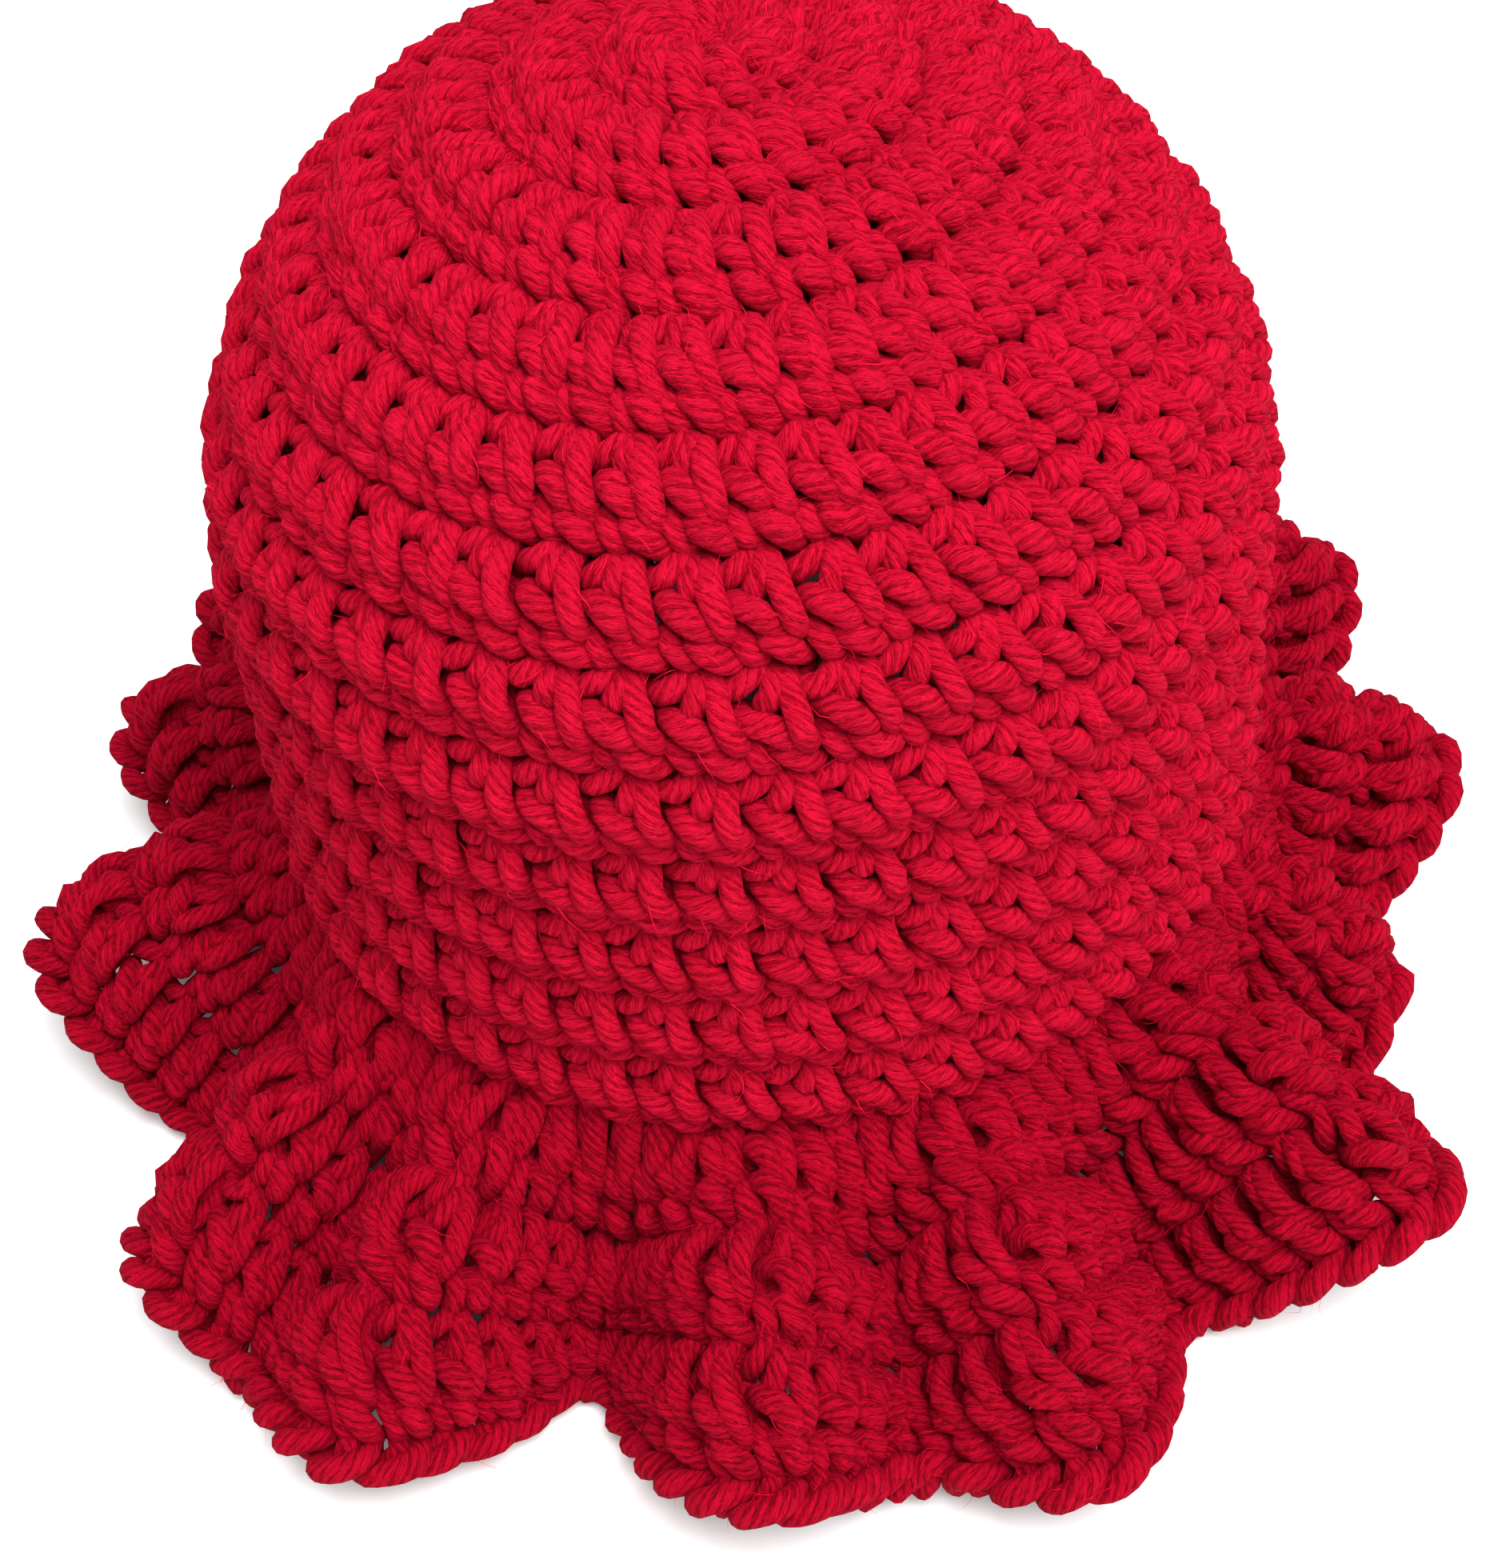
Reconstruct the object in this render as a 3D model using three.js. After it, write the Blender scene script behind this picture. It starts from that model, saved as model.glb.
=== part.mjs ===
// A crocheted hat: a round cap worked in rounds of double crochet from the middle of the crown down,
// with a ruffled brim of three rounds and a corded edging.
//
// The hat stands on its brim. +Z is up, the front of the hat faces -Y, and the origin is on the
// surface that the hat stands on, under the middle of its outline. All sizes are in millimetres.
//
// The cloth comes apart only round by round, so each round of stitches is a solid of its own. A round
// is a closed ring. Its section is a low hexagon, thin at the two seams where it meets the next rounds
// and full in the middle, where the posts of the stitches stand proud.

import * as THREE from "three";

// The yarn and the stitch.
const YARN = 2.7;
const STITCH_WIDTH = 8.7;
const ROUND_HEIGHT = 12.8;
const CAP_CLOTH = { seam: 3.2, post: 5.2 };
const BRIM_CLOTH = { seam: 2.6, post: 4.2 };

// The cap.
const CAP_STITCHES = 48;
const CAP_ROUNDS = 12;
const CAP_RADIUS = (CAP_STITCHES * STITCH_WIDTH) / (2 * Math.PI);
const DOME_HEIGHT = 62;
const WALL_FLARE = 2;
const CAP_SEGMENTS = 32;
const STARTING_RING_RADIUS = 2.2;
const STARTING_RING_SIDES = 8;

// The brim. Its root lies under the edge of the cap's last round.
const BRIM_ROUNDS = 3;
const BRIM_ROUND_HEIGHT = 15;
const EDGING_HEIGHT = 4.2;
const EDGING_THICKNESS = 3;
const BRIM_WIDTH = BRIM_ROUNDS * BRIM_ROUND_HEIGHT + EDGING_HEIGHT;
const CAP_EDGE_HEIGHT = 36;
const BRIM_ROOT_DROP = 3;
const CREST_BULGE = 7;
const VALLEY_SAG = 8;
const FOLD_SWING = 0.1;
const BRIM_SEGMENTS = 144;

// The rim of the brim, fold by fold round the hat, crest, valley, crest, valley and so on: degrees
// from the front towards +X, reach out from the root, and height over the surface that the hat
// stands on. A valley at REST would hang below that surface, so it comes to lie flat on it.
const REST = -2.5;
const REST_SOFTNESS = 3;
const RIM = [
  [-142, 44, 19],
  [-132, 28, REST],
  [-122, 44, 18],
  [-114, 38, 10],
  [-106, 43, 17],
  [-96, 28, 2],
  [-80, 45, 20],
  [-64, 30, REST],
  [-50, 48, 12],
  [-42, 46, 5],
  [-32, 51, 11],
  [-18, 23.5, REST],
  [-3, 46, 17],
  [8, 38, 7],
  [18, 49, 12],
  [32, 31, 1],
  [46, 49, 23],
  [59, 26, REST],
  [68, 28, 10],
  [76, 21, 3],
  [90, 36, 19],
  [105, 26, 4],
  [117, 41, 17],
  [129.5, 30, REST],
  [142, 44, 19],
  [155, 26, 3],
  [168, 46, 19],
  [182, 28, REST],
  [196, 45, 19],
  [209, 25, 2],
];

// Touching pieces keep this gap, and the rounds of the brim a wider one, because they bend in the folds.
const GAP = 0.3;
const FOLD_GAP = 0.9;

const yarnMaterial = (color) => new THREE.MeshStandardMaterial({ color, roughness: 0.9, metalness: 0 });
const capYarn = yarnMaterial(0xc8102e);
const brimYarn = yarnMaterial(0xa80c24);

// The middle of the cap's cloth as radius and height, from the pole down to the root of the brim: a
// quarter of an ellipse, then a wall that leans out a little.
const domeLength = new THREE.EllipseCurve(0, 0, CAP_RADIUS, DOME_HEIGHT, 0, Math.PI / 2).getLength();
const wallLength = CAP_ROUNDS * ROUND_HEIGHT - domeLength;
const domeBase = CAP_EDGE_HEIGHT + wallLength;
const rootRadius = CAP_RADIUS + WALL_FLARE;
const capProfile = new THREE.CurvePath();
capProfile.add(new THREE.EllipseCurve(0, domeBase, CAP_RADIUS, DOME_HEIGHT, Math.PI / 2, 0, true));
capProfile.add(
  new THREE.QuadraticBezierCurve(
    new THREE.Vector2(CAP_RADIUS, domeBase),
    new THREE.Vector2(CAP_RADIUS, domeBase - wallLength / 2),
    new THREE.Vector2(rootRadius, CAP_EDGE_HEIGHT),
  ),
);
const capLength = capProfile.getLength();

function aroundAxis(angle, radius, height) {
  return new THREE.Vector3(radius * Math.sin(angle), -radius * Math.cos(angle), height);
}

// A point of the cap: s down the cloth from the pole and n out of it, at an angle from the front.
function capPoint(angle, s, n) {
  const middle = capProfile.getPoint(s / capLength);
  const along = capProfile.getTangent(s / capLength);
  return aroundAxis(angle, middle.x - n * along.y, middle.y + n * along.x);
}

// The rim at an angle: its reach and height, how much of a crest it is, from 0 to 1, and how far
// the fold swings the cloth round towards its valley.
function rimAt(angle) {
  const first = RIM[0][0];
  const degrees = first + THREE.MathUtils.euclideanModulo(THREE.MathUtils.radToDeg(angle) - first, 360);
  const keys = [...RIM, [first + 360, RIM[0][1], RIM[0][2]]];
  const at = RIM.findIndex((key, i) => degrees < keys[i + 1][0]);
  const [fromDegrees, fromReach, fromHeight] = keys[at];
  const [toDegrees, toReach, toHeight] = keys[at + 1];
  const turn = (Math.PI * (degrees - fromDegrees)) / (toDegrees - fromDegrees);
  const eased = (1 - Math.cos(turn)) / 2;
  const towardsValley = at % 2 === 0;
  const swing = (FOLD_SWING * THREE.MathUtils.degToRad(toDegrees - fromDegrees) * Math.sin(turn)) / Math.PI;
  return {
    reach: THREE.MathUtils.lerp(fromReach, toReach, eased),
    height: THREE.MathUtils.lerp(fromHeight, toHeight, eased),
    crest: towardsValley ? 1 - eased : eased,
    swing: towardsValley ? swing : -swing,
  };
}

// A point of the middle of the brim's cloth: s out from the root, at an angle from the front.
function brimMiddle(angle, s) {
  const out = s / BRIM_WIDTH;
  const rim = rimAt(angle);
  const rootHeight = CAP_EDGE_HEIGHT - BRIM_ROOT_DROP;
  const bulge = THREE.MathUtils.lerp(-VALLEY_SAG, CREST_BULGE, rim.crest);
  const hanging = THREE.MathUtils.lerp(rootHeight, rim.height, out) + 4 * bulge * out * (1 - out);
  const lowest = EDGING_THICKNESS / 20;
  const height = lowest + (hanging - lowest + Math.hypot(hanging - lowest, REST_SOFTNESS)) / 2;
  return aroundAxis(angle + rim.swing * out, rootRadius + rim.reach * out, height);
}

// The same point moved n out of the cloth, and kept on or above the surface that the hat stands on.
function brimPoint(angle, s, n) {
  const STEP = 0.01;
  const middle = brimMiddle(angle, s);
  const across = brimMiddle(angle + STEP, s).sub(brimMiddle(angle - STEP, s));
  const outwards = brimMiddle(angle, s + STEP).sub(middle);
  const point = middle.addScaledVector(outwards.cross(across).normalize(), n);
  point.z = Math.max(point.z, 0);
  return point;
}

// One round: a closed ring of the section's points (s, n), placed by pointAt at each angle.
function roundGeometry(section, pointAt, segments) {
  const positions = [];
  for (let i = 0; i < segments; i++) {
    const angle = (2 * Math.PI * i) / segments;
    for (const [s, n] of section) positions.push(...pointAt(angle, s, n).toArray());
  }
  const index = [];
  const count = section.length;
  for (let i = 0; i < segments; i++) {
    const next = (i + 1) % segments;
    for (let j = 0; j < count; j++) {
      const k = (j + 1) % count;
      index.push(i * count + j, next * count + j, next * count + k);
      index.push(i * count + j, next * count + k, i * count + k);
    }
  }
  const geometry = new THREE.BufferGeometry();
  geometry.setAttribute("position", new THREE.Float32BufferAttribute(positions, 3));
  geometry.setIndex(index);
  geometry.computeVertexNormals();
  return geometry;
}

// The section of a round of posts that runs from one seam to the next.
function postSection(from, to, cloth, gap) {
  const seam = cloth.seam / 2;
  const post = cloth.post / 2;
  const middle = (from + to) / 2;
  return [
    [from + gap / 2, -seam],
    [middle, -post],
    [to - gap / 2, -seam],
    [to - gap / 2, seam],
    [middle, post],
    [from + gap / 2, seam],
  ];
}

// The first loop of yarn, drawn tight in the middle of the crown, which round 1 is worked into.
function startingRingGeometry() {
  const profile = [];
  for (let i = 0; i <= STARTING_RING_SIDES; i++) {
    const turn = (2 * Math.PI * i) / STARTING_RING_SIDES;
    const radius = STARTING_RING_RADIUS + (YARN / 2) * Math.cos(turn);
    profile.push(new THREE.Vector2(radius, (YARN / 2) * Math.sin(turn)));
  }
  const geometry = new THREE.LatheGeometry(profile, CAP_SEGMENTS / 2);
  geometry.rotateX(Math.PI / 2);
  geometry.translate(0, 0, domeBase + DOME_HEIGHT);
  return geometry;
}

// The corded edging: a chain of slip stitches round the rim.
function edgingGeometry() {
  const from = BRIM_WIDTH - EDGING_HEIGHT + FOLD_GAP / 2;
  const half = EDGING_THICKNESS / 2;
  const section = [
    [from, -half],
    [BRIM_WIDTH, -half],
    [BRIM_WIDTH, half],
    [from, half],
  ];
  return roundGeometry(section, brimPoint, BRIM_SEGMENTS);
}

// An end of yarn worked in along the wrong side of the cloth, from one angle and s to another.
const TAIL_DEPTH = CAP_CLOTH.post / 2 + YARN / 2 + GAP;
const TAIL_STEPS = 12;
const TAIL_SIDES = 8;
function tailGeometry(pointAt, fromDegrees, toDegrees, fromS, toS) {
  const points = [];
  for (let i = 0; i <= TAIL_STEPS; i++) {
    const share = i / TAIL_STEPS;
    const angle = THREE.MathUtils.degToRad(THREE.MathUtils.lerp(fromDegrees, toDegrees, share));
    points.push(pointAt(angle, THREE.MathUtils.lerp(fromS, toS, share), -TAIL_DEPTH));
  }
  const section = new THREE.Shape();
  section.absarc(0, 0, YARN / 2, 0, 2 * Math.PI, false);
  return new THREE.ExtrudeGeometry(section, {
    steps: TAIL_STEPS,
    curveSegments: TAIL_SIDES,
    extrudePath: new THREE.CatmullRomCurve3(points),
  });
}

const hat = new THREE.Group();

function addPiece(name, geometry, material) {
  const mesh = new THREE.Mesh(geometry, material);
  mesh.name = name;
  hat.add(mesh);
}

addPiece("starting_ring", startingRingGeometry(), capYarn);
for (let round = 1; round <= CAP_ROUNDS; round++) {
  const afterRing = STARTING_RING_RADIUS + YARN / 2 + GAP;
  const from = round === 1 ? afterRing : (round - 1) * ROUND_HEIGHT;
  const section = postSection(from, round * ROUND_HEIGHT, CAP_CLOTH, GAP);
  const name = `cap_round_${String(round).padStart(2, "0")}`;
  addPiece(name, roundGeometry(section, capPoint, CAP_SEGMENTS), capYarn);
}
for (let round = 1; round <= BRIM_ROUNDS; round++) {
  const from = (round - 1) * BRIM_ROUND_HEIGHT;
  const section = postSection(from, from + BRIM_ROUND_HEIGHT, BRIM_CLOTH, FOLD_GAP);
  addPiece(`brim_round_${round}`, roundGeometry(section, brimPoint, BRIM_SEGMENTS), brimYarn);
}
addPiece("brim_edging", edgingGeometry(), brimYarn);
addPiece("start_tail", tailGeometry(capPoint, 20, 110, 9, 34), capYarn);
addPiece("finish_tail", tailGeometry(brimPoint, 161, 175, 40, 12), brimYarn);

// Move the hat so that the origin is under the middle of its outline.
const outline = new THREE.Box3().setFromObject(hat);
const middle = outline.getCenter(new THREE.Vector3());
hat.position.set(-middle.x, -middle.y, -outline.min.z);

export default hat;
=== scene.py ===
"""A crocheted hat with a ruffled brim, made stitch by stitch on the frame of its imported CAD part.

Each round of the hat is one strand of plied yarn. The strand runs through every loop of its double
crochet stitches, and the stitches lie on the cloth that the CAD rounds stand for: a domed cap, and a
brim laid in folds. Lengths are in millimetres until a mesh is made, and heights are over the floor.
"""

import math

import bpy
import numpy as np
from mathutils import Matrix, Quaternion, Vector


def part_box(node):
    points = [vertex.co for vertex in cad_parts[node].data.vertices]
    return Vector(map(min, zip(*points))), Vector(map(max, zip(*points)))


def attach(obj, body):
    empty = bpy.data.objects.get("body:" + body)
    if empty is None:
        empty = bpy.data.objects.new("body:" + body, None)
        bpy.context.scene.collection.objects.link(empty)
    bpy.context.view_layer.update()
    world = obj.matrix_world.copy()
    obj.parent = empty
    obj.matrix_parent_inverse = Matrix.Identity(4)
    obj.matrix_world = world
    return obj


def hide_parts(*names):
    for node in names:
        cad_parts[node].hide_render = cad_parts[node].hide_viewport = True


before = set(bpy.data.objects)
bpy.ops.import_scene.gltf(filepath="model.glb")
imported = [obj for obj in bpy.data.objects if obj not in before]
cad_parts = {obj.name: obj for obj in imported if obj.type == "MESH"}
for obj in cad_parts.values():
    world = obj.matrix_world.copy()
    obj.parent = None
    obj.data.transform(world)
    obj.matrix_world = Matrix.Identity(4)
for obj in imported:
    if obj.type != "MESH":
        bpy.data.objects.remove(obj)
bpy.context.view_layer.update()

METRES = 0.001
TURN = 2 * math.pi

# The yarn: its thickness, its plies, the length in which they turn once, and a ply's highest part as
# a share of a turn.
YARN = 2.7
PLIES = 6
PLY_PITCH = 7.5
PLY_CREST = 0.5 / PLIES

# The mesh of a strand: its sides, and how far apart its rings are on each part of the hat.
STRAND_SIDES = 10
CAP_RING_STEP = 1.5
BRIM_RING_STEP = 1.9
TAIL_RING_STEP = 1.2
SMALL_RING_STEP = 0.8

# How gradually the yarn levels out where it lies on the floor.
YARN_SOFTNESS = 1.5

# The fibres that stand off the yarn: how far apart they start along it, their length and how it varies,
# their thickness, how steeply they leave, how they bend and curl, and the mesh of each.
FIBRE_SPACING = 8.0
FIBRE_LENGTH = 4.5
FIBRE_LENGTH_SPREAD = (0.5, 1.3)
FIBRE_THICKNESS = 0.1
FIBRE_LIFT = (0.2, 0.9)
FIBRE_BEND = 0.35
FIBRE_CURL = 0.2
FIBRE_JOINTS = 4
FIBRE_SIDES = 3

# The size of one double crochet on the cap, as the CAD has it.
STITCH_WIDTH = 8.7
ROUND_HEIGHT = 12.8

# The cap, as the CAD has it.
CAP_STITCHES = 48
CAP_RADIUS = CAP_STITCHES * STITCH_WIDTH / TURN
CAP_ROUND_STITCHES = [12, 24, 36] + [CAP_STITCHES] * 9
DOME_HEIGHT = 62.0
WALL_FLARE = 2.0
STARTING_RING_RADIUS = 2.2
STARTING_RING_POINTS = 12
# The cap's outline is measured at this many places, and the wall a little past its edge.
DOME_SAMPLES = 400
WALL_SAMPLES = 200
PAST_THE_EDGE = 1.1

# The brim, as the CAD has it.
BRIM_ROUND_STITCHES = [96, 144, 144]
BRIM_ROUND_HEIGHT = 15.0
EDGING_HEIGHT = 4.2
EDGING_THICKNESS = 3.0
BRIM_WIDTH = len(BRIM_ROUND_STITCHES) * BRIM_ROUND_HEIGHT + EDGING_HEIGHT
CAP_EDGE_HEIGHT = 36.0
BRIM_ROOT_DROP = 3.0
CREST_BULGE = 7.0
VALLEY_SAG = 8.0
FOLD_SWING = 0.1
# The middle of the cloth stays this high where the brim lies on the floor.
LOWEST_MIDDLE = EDGING_THICKNESS / 20

# Stitches are spaced along the folded brim by measuring it at this many angles, and at this many
# distances out, the last of which is a little past the rim.
FOLD_SAMPLES = 2880
FOLD_LEVELS = 9
PAST_THE_RIM = 3.0

# The rim, crest and valley in turn: degrees from the front, reach from the root, height.
REST = -2.5
REST_SOFTNESS = 3.0
RIM = [
    (-142, 44, 19),
    (-132, 28, REST),
    (-122, 44, 18),
    (-114, 38, 10),
    (-106, 43, 17),
    (-96, 28, 2),
    (-80, 45, 20),
    (-64, 30, REST),
    (-50, 48, 12),
    (-42, 46, 5),
    (-32, 51, 11),
    (-18, 23.5, REST),
    (-3, 46, 17),
    (8, 38, 7),
    (18, 49, 12),
    (32, 31, 1),
    (46, 49, 23),
    (59, 26, REST),
    (68, 28, 10),
    (76, 21, 3),
    (90, 36, 19),
    (105, 26, 4),
    (117, 41, 17),
    (129.5, 30, REST),
    (142, 44, 19),
    (155, 26, 3),
    (168, 46, 19),
    (182, 28, REST),
    (196, 45, 19),
    (209, 25, 2),
]

# How the stitches lie on the cloth: the cloth's thickness to the middle of its yarn, and in such
# thicknesses how far the middle of a round bulges and how far every stitch sinks in.
LOFT = 2.9
POST_BULGE = 0.55
SINK = 0.7
# The fullness of the yarn is at least this, so that little shows through between the stitches.
LEAST_FULL = 1.12
# How much the points of a stitch stray, and how much the whole stitch does, as in the table below.
POINT_STRAY = (0.02, 0.012, 0.06, 0.05)
STITCH_STRAY = (0.025, 0.015, 0.05, 0.04)
# The brim's first round is worked with fuller yarn, and starts this far up inside the cap's edge.
BRIM_TUCK = 4.5
BRIM_ROOT_FULL = 1.3
# The brim's stitches are crowded, so that each is a rib: how narrow it is, and how far it stands off.
BRIM_GATHER = 0.84
BRIM_RIB = 0.42
# The random draws of the brim and its edging start from these seeds, and the cap's from its rounds'.
BRIM_SEED = 50
EDGING_SEED = 60

# The way of the yarn through one double crochet, seen from the right side with the crown up: stitch
# widths to the right, rounds down, thicknesses of cloth towards the viewer, and how full the yarn is.
DOUBLE_CROCHET = [
    # The front strand of the V that the next round is worked into.
    (-0.22, 1.24, 0.00, 0.80),
    (-0.08, 1.205, 0.55, 0.98),
    (0.08, 1.14, 0.80, 1.07),
    (0.24, 1.06, 0.65, 1.02),
    (0.37, 0.99, -0.05, 0.80),
    # Behind the post, up to the first wrap.
    (0.34, 0.82, -0.80, 0.80),
    (0.14, 0.60, -0.80, 0.80),
    (-0.05, 0.47, -0.45, 0.90),
    # The first wrap.
    (0.00, 0.425, 0.25, 1.12),
    (0.14, 0.43, 0.85, 1.28),
    (0.32, 0.49, 1.05, 1.36),
    (0.50, 0.58, 0.90, 1.28),
    (0.66, 0.66, 0.25, 1.02),
    # Behind, up to the left leg.
    (0.72, 0.54, -0.60, 0.86),
    (0.64, 0.30, -0.85, 0.80),
    (0.53, 0.10, -0.65, 0.76),
    # The left leg.
    (0.48, 0.04, 0.10, 0.80),
    (0.45, 0.12, 0.80, 0.98),
    (0.39, 0.21, 1.00, 1.15),
    (0.33, 0.31, 0.75, 1.12),
    (0.31, 0.41, 0.05, 0.86),
    # Behind, up to the right leg.
    (0.42, 0.36, -0.55, 0.76),
    (0.53, 0.20, -0.55, 0.76),
    (0.57, 0.06, -0.15, 0.76),
    # The right leg.
    (0.58, 0.06, 0.45, 0.86),
    (0.62, 0.18, 1.00, 1.07),
    (0.68, 0.34, 1.20, 1.18),
    (0.76, 0.50, 1.20, 1.16),
    (0.83, 0.64, 0.85, 1.02),
    (0.86, 0.74, 0.05, 0.86),
    # Behind, across to the hook of the second wrap.
    (0.72, 0.76, -0.80, 0.80),
    (0.42, 0.70, -1.00, 0.80),
    (0.14, 0.64, -0.65, 0.80),
    # The hook.
    (0.05, 0.65, 0.05, 0.90),
    (0.08, 0.73, 0.70, 0.96),
    (0.17, 0.83, 0.85, 1.02),
    (0.27, 0.92, 0.60, 0.96),
    (0.33, 0.98, -0.05, 0.80),
    # Behind the hook, to the second wrap.
    (0.34, 0.90, -0.60, 0.76),
    (0.30, 0.76, -0.40, 0.86),
    # The second wrap.
    (0.36, 0.71, 0.20, 1.07),
    (0.48, 0.74, 0.85, 1.28),
    (0.64, 0.81, 1.05, 1.36),
    (0.80, 0.88, 0.90, 1.28),
    (0.95, 0.96, 0.25, 1.02),
    # Behind, to the next stitch.
    (1.00, 1.06, -0.55, 0.80),
    (0.90, 1.19, -0.55, 0.76),
]

# The way of the yarn through one stitch of the edging, which is laid over the edge like a cord.
EDGING_STITCH = [
    (-0.50, 0.85, 0.35, 1.10),
    (-0.15, 0.72, 0.95, 1.30),
    (0.30, 0.48, 1.00, 1.35),
    (0.72, 0.25, 0.40, 1.10),
    (0.62, 0.20, -0.60, 1.10),
    (0.50, 0.70, -0.80, 1.20),
]


def lerp(start, end, share):
    return start + (end - start) * share


# ---- The cloth: share is how far round the hat from the front, s how far down it, n out of it.


def cap_profile():
    """The cap's cloth as lengths down it from the pole with the radius and height there."""
    turn = np.linspace(0, math.pi / 2, DOME_SAMPLES)
    dome_radius = CAP_RADIUS * np.sin(turn)
    dome_height = DOME_HEIGHT * np.cos(turn)
    dome_length = np.hypot(np.diff(dome_radius), np.diff(dome_height)).sum()
    wall_length = len(CAP_ROUND_STITCHES) * ROUND_HEIGHT - dome_length
    base = CAP_EDGE_HEIGHT + wall_length
    down = np.linspace(0, PAST_THE_EDGE, WALL_SAMPLES)[1:]
    radius = np.concatenate([dome_radius, CAP_RADIUS + WALL_FLARE * down**2])
    height = np.concatenate([base + dome_height, base - wall_length * down])
    length = np.concatenate([[0], np.cumsum(np.hypot(np.diff(radius), np.diff(height)))])
    return length, radius, height


CAP_LENGTH, CAP_RADII, CAP_HEIGHTS = cap_profile()
CAP_OUTWARD = np.gradient(CAP_RADII, CAP_LENGTH)
CAP_UPWARD = np.gradient(CAP_HEIGHTS, CAP_LENGTH)


def unit(vectors):
    return vectors / np.linalg.norm(vectors, axis=-1, keepdims=True)


def around_axis(angle, radius, height):
    return np.stack([radius * np.sin(angle), -radius * np.cos(angle), height], axis=-1)


def cap_point(share, s, n):
    radius = np.interp(s, CAP_LENGTH, CAP_RADII) - n * np.interp(s, CAP_LENGTH, CAP_UPWARD)
    height = np.interp(s, CAP_LENGTH, CAP_HEIGHTS) + n * np.interp(s, CAP_LENGTH, CAP_OUTWARD)
    return around_axis(TURN * share, radius, height)


def rim_at(angle):
    """The rim at each angle: its reach, its height, how much of a crest it is, and its swing."""
    keys = np.array(RIM + [(RIM[0][0] + 360, RIM[0][1], RIM[0][2])], dtype=float)
    degrees = keys[0, 0] + (np.degrees(angle) - keys[0, 0]) % 360
    at = np.clip(np.searchsorted(keys[:, 0], degrees, side="right") - 1, 0, len(RIM) - 1)
    start = keys[at]
    end = keys[at + 1]
    pitch = end[..., 0] - start[..., 0]
    turn = math.pi * (degrees - start[..., 0]) / pitch
    eased = (1 - np.cos(turn)) / 2
    to_valley = at % 2 == 0
    swing = FOLD_SWING * np.radians(pitch) * np.sin(turn) / math.pi
    reach = lerp(start[..., 1], end[..., 1], eased)
    height = lerp(start[..., 2], end[..., 2], eased)
    return reach, height, np.where(to_valley, 1 - eased, eased), np.where(to_valley, swing, -swing)


def settled(height, lowest, softness):
    """A height that levels out softly as it comes down to the lowest one."""
    over = height - lowest
    return lowest + (over + np.hypot(over, softness)) / 2


def brim_middle(angle, s):
    out = s / BRIM_WIDTH
    reach, rim_height, crest, swing = rim_at(angle)
    root = CAP_EDGE_HEIGHT - BRIM_ROOT_DROP
    bulge = lerp(-VALLEY_SAG, CREST_BULGE, crest)
    hanging = lerp(root, rim_height, out) + 4 * bulge * out * (1 - out)
    height = settled(hanging, LOWEST_MIDDLE, REST_SOFTNESS)
    return around_axis(angle + swing * out, CAP_RADIUS + WALL_FLARE + reach * out, height)


def evenly_round_brim(share, s):
    """The angle at each share of the cloth's own length round the brim, at the distance s out."""
    angles = np.linspace(0, TURN, FOLD_SAMPLES + 1)
    line = brim_middle(angles, np.full_like(angles, s))
    steps = np.linalg.norm(np.diff(line, axis=0), axis=1)
    length = np.concatenate([[0], np.cumsum(steps)])
    whole = np.floor(share)
    return TURN * whole + np.interp(share - whole, length / length[-1], angles)


def brim_point(share, s, n):
    """Stitches are spaced evenly along the folded cloth, so the spacing is found at a few distances."""
    levels = np.linspace(0, BRIM_WIDTH + PAST_THE_RIM, FOLD_LEVELS)
    table = np.stack([evenly_round_brim(share, level) for level in levels])
    place = np.clip(s / levels[-1], 0, 1) * (len(levels) - 1)
    low = np.minimum(place.astype(int), len(levels) - 2)
    pick = np.arange(len(share))
    angle = lerp(table[low, pick], table[low + 1, pick], place - low)
    step = 0.01
    middle = brim_middle(angle, s)
    across = brim_middle(angle + step, s) - brim_middle(angle - step, s)
    outwards = brim_middle(angle, s + step) - middle
    normal = np.cross(outwards, across)
    points = middle + unit(normal) * n[:, None]
    points[:, 2] = settled(points[:, 2], YARN / 2, YARN_SOFTNESS)
    return points


# ---- The yarn.


def closed_spline(points, per_span=6):
    """A Catmull-Rom curve through a closed loop of points, with a fourth column carried along."""
    before = np.roll(points, 1, axis=0)
    after = np.roll(points, -1, axis=0)
    beyond = np.roll(points, -2, axis=0)
    curve = []
    for k in range(per_span):
        u = k / per_span
        curve.append(
            0.5
            * (
                2 * points
                + (after - before) * u
                + (2 * before - 5 * points + 4 * after - beyond) * u**2
                + (3 * points - before - 3 * after + beyond) * u**3
            )
        )
    return np.stack(curve, axis=1).reshape(-1, points.shape[1])


def evenly_spaced(curve, step):
    steps = np.linalg.norm(np.diff(curve[:, :3], axis=0), axis=1)
    length = np.concatenate([[0], np.cumsum(steps)])
    places = np.linspace(0, length[-1], max(3, int(round(length[-1] / step)) + 1))
    return np.stack([np.interp(places, length, column) for column in curve.T], axis=1)


# A direction that no strand starts along.
ANY_DIRECTION = (0.3, 0.5, 0.8)


def frames_along(path):
    """Two directions square to the path at each of its points, turning as little as they can."""
    tangents = np.gradient(path, axis=0)
    tangents /= np.linalg.norm(tangents, axis=1, keepdims=True)
    normals = np.empty_like(path)
    normal = np.cross(tangents[0], ANY_DIRECTION)
    for i, tangent in enumerate(tangents):
        normal = normal - tangent * (normal @ tangent)
        normal /= math.sqrt(normal @ normal)
        normals[i] = normal
    return normals, np.cross(tangents, normals)


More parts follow.
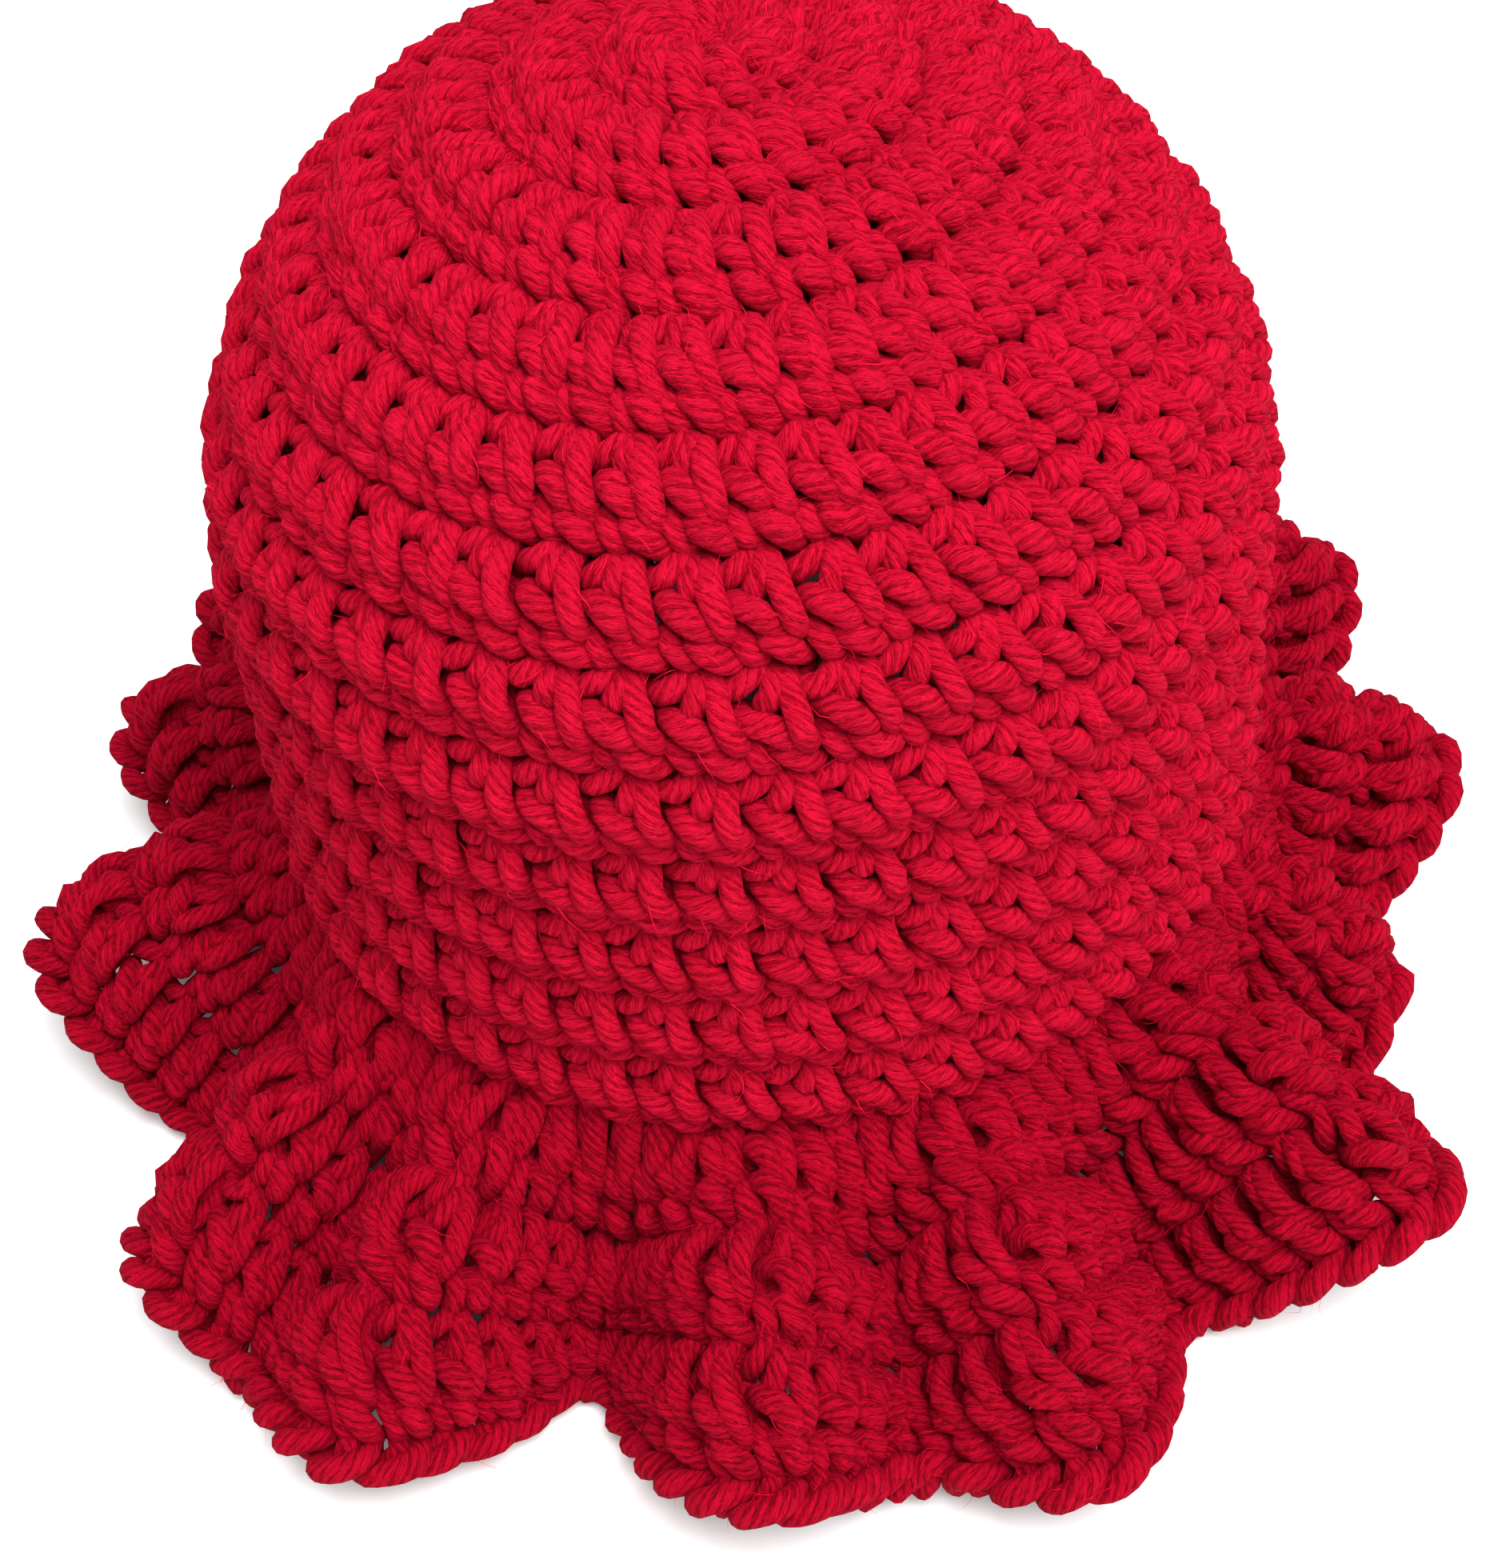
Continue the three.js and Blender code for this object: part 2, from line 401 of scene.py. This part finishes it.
def tube_quads(rings, sides, tubes=1):
    """The quads of tubes whose vertices come ring by ring, as [tube, gap between rings, side, corner]."""
    first = (np.arange(tubes)[:, None] * rings + np.arange(rings - 1)[None]) * sides
    side = np.arange(sides)
    beside = (side + 1) % sides
    first = first[..., None]
    above = first + sides
    return np.stack([first + side, above + side, above + beside, first + beside], axis=-1)


def strand(path, fullness):
    """A round strand along a path, closed to a point at both ends: its vertices, its quads, and the
    yarn's own coordinates, which are the length along it and the turn round it."""
    normals, sideways = frames_along(path)
    steps = np.linalg.norm(np.diff(path, axis=0), axis=1)
    length = np.concatenate([[0], np.cumsum(steps)])
    turned = np.arange(STRAND_SIDES)[None] * TURN / STRAND_SIDES
    reach = YARN / 2 * fullness
    reach[[0, -1]] = 0
    ring = np.cos(turned)[..., None] * normals[:, None] + np.sin(turned)[..., None] * sideways[:, None]
    vertices = path[:, None] + reach[:, None, None] * ring
    quads = tube_quads(len(path), STRAND_SIDES)[0]
    side = np.arange(STRAND_SIDES)[None, :, None]
    uv = np.empty(quads.shape + (2,))
    uv[..., [0, 3], 0] = length[:-1, None, None]
    uv[..., [1, 2], 0] = length[1:, None, None]
    uv[..., [0, 1], 1] = side / STRAND_SIDES
    uv[..., [2, 3], 1] = (side + 1) / STRAND_SIDES
    return vertices.reshape(-1, 3), quads.reshape(-1, 4), uv.reshape(-1, 2)


def loose_fibres(path, fullness, seed):
    """Thin curling fibres that start inside the yarn and stand off it, as vertices and quads."""
    chance = np.random.default_rng(seed)
    normals, sideways = frames_along(path)
    length = np.linalg.norm(np.diff(path, axis=0), axis=1).sum()
    count = int(length / FIBRE_SPACING)
    at = chance.integers(1, len(path) - 1, count)
    angle = chance.uniform(0, TURN, count)[:, None]
    out = np.cos(angle) * normals[at] + np.sin(angle) * sideways[at]
    along = unit(path[at + 1] - path[at]) * chance.choice([-1, 1], (count, 1))
    across = np.cross(out, along)
    heading = along + out * chance.uniform(*FIBRE_LIFT, (count, 1))
    step = FIBRE_LENGTH / (FIBRE_JOINTS - 1) * chance.uniform(*FIBRE_LENGTH_SPREAD, (count, 1))
    bend = chance.normal(0, FIBRE_BEND, (count, 3))
    joints = [path[at] + out * (YARN / 2 * fullness[at, None] - FIBRE_THICKNESS)]
    while len(joints) < FIBRE_JOINTS:
        heading = unit(heading)
        joints.append(joints[-1] + heading * step)
        heading = heading + bend + chance.normal(0, FIBRE_CURL, (count, 3))
    line = np.stack(joints, axis=1)
    turned = np.arange(FIBRE_SIDES)[:, None] * TURN / FIBRE_SIDES
    ring = np.cos(turned) * out[:, None, None] + np.sin(turned) * across[:, None, None]
    taper = np.linspace(1, 0, FIBRE_JOINTS)[None, :, None, None]
    vertices = line[:, :, None] + ring * taper * FIBRE_THICKNESS / 2
    quads = tube_quads(FIBRE_JOINTS, FIBRE_SIDES, count)
    return vertices.reshape(-1, 3), quads.reshape(-1, 4)


cap_low, cap_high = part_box("cap_round_09")
AXIS = (Vector(cap_low) + Vector(cap_high)) / 2


def add_strand(name, material, path, fullness):
    """A piece of one strand, which stands for the CAD node of the same name."""
    vertices, quads, uv = strand(path, fullness)
    fibres, fibre_quads = loose_fibres(path, fullness, seed=len(path))
    quads = np.concatenate([quads, fibre_quads + len(vertices)])
    vertices = np.concatenate([vertices, fibres])
    # The loose fibres take the yarn's coordinates at a ply's crest, so they get the crest's lighter
    # colour, which is painted highlight.
    uv = np.concatenate([uv, np.full((fibre_quads.size, 2), PLY_CREST)])
    vertices[:, 2] = np.maximum(vertices[:, 2], 0)
    vertices = vertices * METRES + np.array([AXIS.x, AXIS.y, 0])
    mesh = bpy.data.meshes.new(name)
    mesh.vertices.add(len(vertices))
    mesh.vertices.foreach_set("co", vertices.ravel())
    mesh.loops.add(quads.size)
    mesh.loops.foreach_set("vertex_index", quads.ravel().astype(np.int32))
    mesh.polygons.add(len(quads))
    mesh.polygons.foreach_set("loop_start", np.arange(len(quads), dtype=np.int32) * 4)
    mesh.update(calc_edges=True)
    mesh.shade_smooth()
    mesh.uv_layers.new(name="yarn").data.foreach_set("uv", uv.ravel())
    mesh.materials.append(material)
    piece = bpy.data.objects.new(name + "_yarn", mesh)
    bpy.context.collection.objects.link(piece)
    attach(piece, "root")
    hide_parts(name)


# ---- The stitches.


def parents(count, before):
    """Where the top of each stitch sits: the middle and width of its share of the round before."""
    parent = np.floor((np.arange(count) + 0.5) * before / count).astype(int)
    sharing = np.bincount(parent, minlength=before)[parent]
    first = np.searchsorted(parent, parent)
    place = (np.arange(count) - first + 0.5) / sharing
    return (parent + place) / before, 1 / (before * sharing)


def worked_round(stitch, count, before, point_at, start, height, seed, gather=1.0, rib=0.0):
    """The yarn of one round of stitches, as spline points. It starts and ends at the back. Each stitch
    is as wide as gather says, and its middle stands off the cloth by rib, in thicknesses of cloth."""
    chance = np.random.default_rng(seed)
    shape = np.array(stitch)
    order = (np.arange(count) + count // 2) % count
    turns = np.where(np.arange(count) >= count - count // 2, 1, 0)
    top_middle, top_width = parents(count, before)
    wobble = chance.normal(0, 1, (count, len(shape), 4)) * POINT_STRAY
    shift = chance.normal(0, 1, (count, 1, 4)) * STITCH_STRAY
    stitches = shape[None] + wobble + shift
    x = 0.5 + gather * (stitches[..., 0] - 0.5)
    t = stitches[..., 1]
    top = top_middle[order][:, None] + (x - 0.5) * top_width[order][:, None]
    bottom = (order[:, None] + x) / count
    down = np.clip(t, 0, 1)
    eased = down * down * (3 - 2 * down)
    share = lerp(top, bottom, eased) + turns[:, None]
    s = start + t * height
    lift = POST_BULGE * np.sin(math.pi * t) ** 2 - rib * np.cos(TURN * x) - SINK
    n = LOFT * (stitches[..., 2] + lift)
    points = point_at(share.ravel(), s.ravel(), n.ravel())
    return np.concatenate([points, stitches[..., 3].reshape(-1, 1)], axis=1)


def add_round(name, material, points, step, least_full=LEAST_FULL):
    curve = evenly_spaced(closed_spline(points), step)
    add_strand(name, material, curve[:, :3], np.maximum(curve[:, 3], least_full))


# ---- The materials.


def new_node(tree, kind, **inputs):
    node = tree.nodes.new(kind)
    for name, value in inputs.items():
        node.inputs[name.replace("_", " ")].default_value = value
    return node


def math_node(tree, operation, *values):
    """A Math node whose inputs are numbers or the outputs of other nodes."""
    node = tree.nodes.new("ShaderNodeMath")
    node.operation = operation
    for socket, value in zip(node.inputs, values):
        if isinstance(value, (int, float)):
            socket.default_value = value
        else:
            tree.links.new(value, socket)
    return node.outputs[0]


# The yarn's surface. The noise is slow along the yarn, so that its streaks run with the plies. It sways
# the plies by up to this many radians, and both it and the plies lift the surface and lighten it. The
# noise lightens the fibres' tone at random; the plies' ridges are painted lighter and the grooves between
# them darker, as painted highlight and painted shade.
STREAK_PER_MM = 0.22
PLY_SWAY = 5.0
PLY_RELIEF = 0.0006
FIBRE_RELIEF = 0.0015
PLY_PAINTED_LIGHT = 0.62
FIBRE_SHADE = 2.4
FIBRE_SHADE_FROM = -1.0
DARK_UP_TO = 0.15
LIGHT_FROM = 0.95


def yarn_material(name, dark, light):
    """Soft acrylic yarn: plies twisted round the strand, their ridges painted lighter as highlight and
    the grooves between them darker as painted shade, and fine fibres that run along the plies.
    """
    material = bpy.data.materials.new(name)
    material.use_nodes = True
    tree = material.node_tree
    link = tree.links.new
    shader = tree.nodes["Principled BSDF"]
    shader.inputs["Roughness"].default_value = 0.8
    shader.inputs["Specular IOR Level"].default_value = 0.04
    shader.inputs["Sheen Weight"].default_value = 0.35
    shader.inputs["Sheen Roughness"].default_value = 0.4
    shader.inputs["Sheen Tint"].default_value = (1.0, 0.01, 0.07, 1.0)

    # Where a point is on the yarn: how far along it, and how far round it with the twist taken out.
    yarn = new_node(tree, "ShaderNodeUVMap")
    yarn.uv_map = "yarn"
    split = new_node(tree, "ShaderNodeSeparateXYZ")
    link(yarn.outputs[0], split.inputs[0])
    along = split.outputs[0]
    twist = math_node(tree, "MULTIPLY_ADD", along, 1 / PLY_PITCH, split.outputs[1])
    turn = math_node(tree, "MULTIPLY", twist, TURN)
    place = new_node(tree, "ShaderNodeCombineXYZ")
    link(math_node(tree, "MULTIPLY", along, STREAK_PER_MM), place.inputs[0])
    link(math_node(tree, "COSINE", turn), place.inputs[1])
    link(math_node(tree, "SINE", turn), place.inputs[2])

    # The plies, as ridges that wander a little, and the fibres, as fine streaks.
    sway = new_node(tree, "ShaderNodeTexNoise", Scale=2.5, Detail=2.0)
    link(place.outputs[0], sway.inputs["Vector"])
    even = math_node(tree, "MULTIPLY", turn, PLIES / 2)
    swayed = math_node(tree, "MULTIPLY_ADD", sway.outputs[0], PLY_SWAY, even)
    ply = math_node(tree, "ABSOLUTE", math_node(tree, "SINE", swayed))
    fibres = new_node(tree, "ShaderNodeTexNoise", Scale=9.0, Detail=4.0, Roughness=0.8, Distortion=0.4)
    link(place.outputs[0], fibres.inputs["Vector"])

    ply_bump = new_node(tree, "ShaderNodeBump", Strength=1.0, Distance=PLY_RELIEF)
    link(ply, ply_bump.inputs["Height"])
    fibre_bump = new_node(tree, "ShaderNodeBump", Strength=1.0, Distance=FIBRE_RELIEF)
    link(fibres.outputs[0], fibre_bump.inputs["Height"])
    link(ply_bump.outputs[0], fibre_bump.inputs["Normal"])
    link(fibre_bump.outputs[0], shader.inputs["Normal"])

    # The base colour: the plies' ridges are painted lighter and the grooves between them darker, as
    # painted highlight and painted shade, and the fibres vary the tone at random.
    fibre_shade = math_node(tree, "MULTIPLY_ADD", fibres.outputs[0], FIBRE_SHADE, FIBRE_SHADE_FROM)
    shade = math_node(tree, "MULTIPLY_ADD", ply, PLY_PAINTED_LIGHT, fibre_shade)
    ramp = tree.nodes.new("ShaderNodeValToRGB")
    darkest, lightest = ramp.color_ramp.elements
    darkest.position = DARK_UP_TO
    darkest.color = dark
    lightest.position = LIGHT_FROM
    lightest.color = light
    link(shade, ramp.inputs[0])
    link(ramp.outputs[0], shader.inputs["Base Color"])
    return material


def floor_material():
    material = bpy.data.materials.new("floor")
    material.use_nodes = True
    shader = material.node_tree.nodes["Principled BSDF"]
    shader.inputs["Base Color"].default_value = (0.86, 0.86, 0.86, 1.0)
    shader.inputs["Roughness"].default_value = 0.9
    return material


cap_yarn = yarn_material("cap_yarn", (0.33, 0.0, 0.006, 1.0), (1.0, 0.007, 0.052, 1.0))
# The brim's yarn is the cap's yarn with darker colours, as painted shade for the shadow that falls on the
# brim and in its folds.
brim_yarn = yarn_material("brim_yarn", (0.17, 0.0, 0.004, 1.0), (0.78, 0.002, 0.032, 1.0))


# ---- The hat.


def add_cap():
    before = CAP_ROUND_STITCHES[0]
    for number, count in enumerate(CAP_ROUND_STITCHES, start=1):
        start = (number - 1) * ROUND_HEIGHT
        height = ROUND_HEIGHT
        if number == 1:
            start = STARTING_RING_RADIUS
            height = ROUND_HEIGHT - start
        points = worked_round(DOUBLE_CROCHET, count, before, cap_point, start, height, seed=number)
        add_round(f"cap_round_{number:02d}", cap_yarn, points, CAP_RING_STEP)
        before = count


def add_brim():
    before = CAP_STITCHES
    for number, count in enumerate(BRIM_ROUND_STITCHES, start=1):
        start = (number - 1) * BRIM_ROUND_HEIGHT
        height = BRIM_ROUND_HEIGHT
        least_full = LEAST_FULL
        if number == 1:
            start = -BRIM_TUCK
            height = BRIM_ROUND_HEIGHT + BRIM_TUCK
            least_full = BRIM_ROOT_FULL
        seed = BRIM_SEED + number
        points = worked_round(
            DOUBLE_CROCHET, count, before, brim_point, start, height, seed, BRIM_GATHER, BRIM_RIB
        )
        add_round(f"brim_round_{number}", brim_yarn, points, BRIM_RING_STEP, least_full)
        before = count


def add_edging():
    """Its stitches are worked one into each stitch of the brim's last round."""
    count = BRIM_ROUND_STITCHES[-1]
    start = BRIM_WIDTH - EDGING_HEIGHT
    points = worked_round(EDGING_STITCH, count, count, brim_point, start, EDGING_HEIGHT, EDGING_SEED)
    add_round("brim_edging", brim_yarn, points, CAP_RING_STEP)


def add_starting_ring():
    count = STARTING_RING_POINTS
    share = np.arange(count) / count
    ring = cap_point(share, np.full(count, STARTING_RING_RADIUS), np.zeros(count))
    points = np.concatenate([ring, np.ones((count, 1))], axis=1)
    add_round("starting_ring", cap_yarn, points, SMALL_RING_STEP)


# The tails lie a gap inside the cloth, whose posts are this thick in the CAD.
POST_THICKNESS = 5.2
GAP = 0.3
TAIL_DEPTH = POST_THICKNESS / 2 + YARN / 2 + GAP
TAIL_POINTS = 13


def add_tail(name, material, point_at, degrees, lengths):
    """An end of yarn worked in along the wrong side, from one angle and length to another."""
    share = np.linspace(degrees[0], degrees[1], TAIL_POINTS) / 360
    s = np.linspace(lengths[0], lengths[1], TAIL_POINTS)
    points = point_at(share, s, np.full(TAIL_POINTS, -TAIL_DEPTH))
    path = evenly_spaced(points, TAIL_RING_STEP)
    add_strand(name, material, path, np.ones(len(path)))


add_cap()
add_brim()
add_edging()
add_starting_ring()
add_tail("start_tail", cap_yarn, cap_point, degrees=(20, 110), lengths=(9, 34))
add_tail("finish_tail", brim_yarn, brim_point, degrees=(161, 175), lengths=(40, 12))


# ---- The studio.


FLOOR_SIDE = 6
HAT_MIDDLE = (0, 0, 0.06)


def add_floor():
    bpy.ops.mesh.primitive_plane_add(size=FLOOR_SIDE)
    floor = bpy.context.object
    floor.name = "floor"
    floor.data.materials.append(floor_material())


def add_softbox(name, place, size, watts):
    """A square light that faces the hat."""
    light = bpy.data.lights.new(name, "AREA")
    light.size = size
    light.energy = watts
    softbox = bpy.data.objects.new(name, light)
    softbox.location = place
    softbox.rotation_euler = (Vector(HAT_MIDDLE) - Vector(place)).to_track_quat("-Z", "Y").to_euler()
    bpy.context.collection.objects.link(softbox)


# The camera stands this far from a point in the cap, up and round by these angles from the front. It
# looks a little past that point, lower and to the left, and is held askew. Angles are in radians.
CAP_MIDDLE_HEIGHT = 0.089
CAMERA_DISTANCE = 0.3117
CAMERA_ELEVATION = 0.6884
CAMERA_AZIMUTH = 0.0326
CAMERA_PITCH = 0.8232
CAMERA_HEADING = CAMERA_AZIMUTH + 0.0105
CAMERA_ROLL = -0.0976
CAMERA_LENS = 53.0


def direction(azimuth, elevation):
    """The way to something seen from the hat: azimuth is 0 in front and grows to the right."""
    level = math.cos(elevation)
    return Vector((level * math.sin(azimuth), -level * math.cos(azimuth), math.sin(elevation)))


def add_camera():
    camera = bpy.data.objects.new("camera", bpy.data.cameras.new("camera"))
    target = Vector((AXIS.x, AXIS.y, CAP_MIDDLE_HEIGHT))
    camera.location = target + direction(CAMERA_AZIMUTH, CAMERA_ELEVATION) * CAMERA_DISTANCE
    look = -direction(CAMERA_HEADING, CAMERA_PITCH)
    roll = Quaternion((0, 0, 1), CAMERA_ROLL)
    camera.rotation_mode = "QUATERNION"
    camera.rotation_quaternion = look.to_track_quat("-Z", "Y") @ roll
    camera.data.lens = CAMERA_LENS
    bpy.context.collection.objects.link(camera)
    bpy.context.scene.camera = camera


def add_world():
    """Even white light, and a view that doesn't wash out the red."""
    world = bpy.data.worlds.new("studio")
    world.use_nodes = True
    background = world.node_tree.nodes["Background"]
    background.inputs["Color"].default_value = (1, 1, 1, 1)
    background.inputs["Strength"].default_value = 0.8
    bpy.context.scene.world = world
    bpy.context.scene.view_settings.view_transform = "Standard"


add_floor()
add_softbox("key", place=(0.2, -0.35, 0.95), size=0.6, watts=17)
add_softbox("fill", place=(0.9, -0.8, 0.4), size=0.8, watts=5)
add_camera()
add_world()
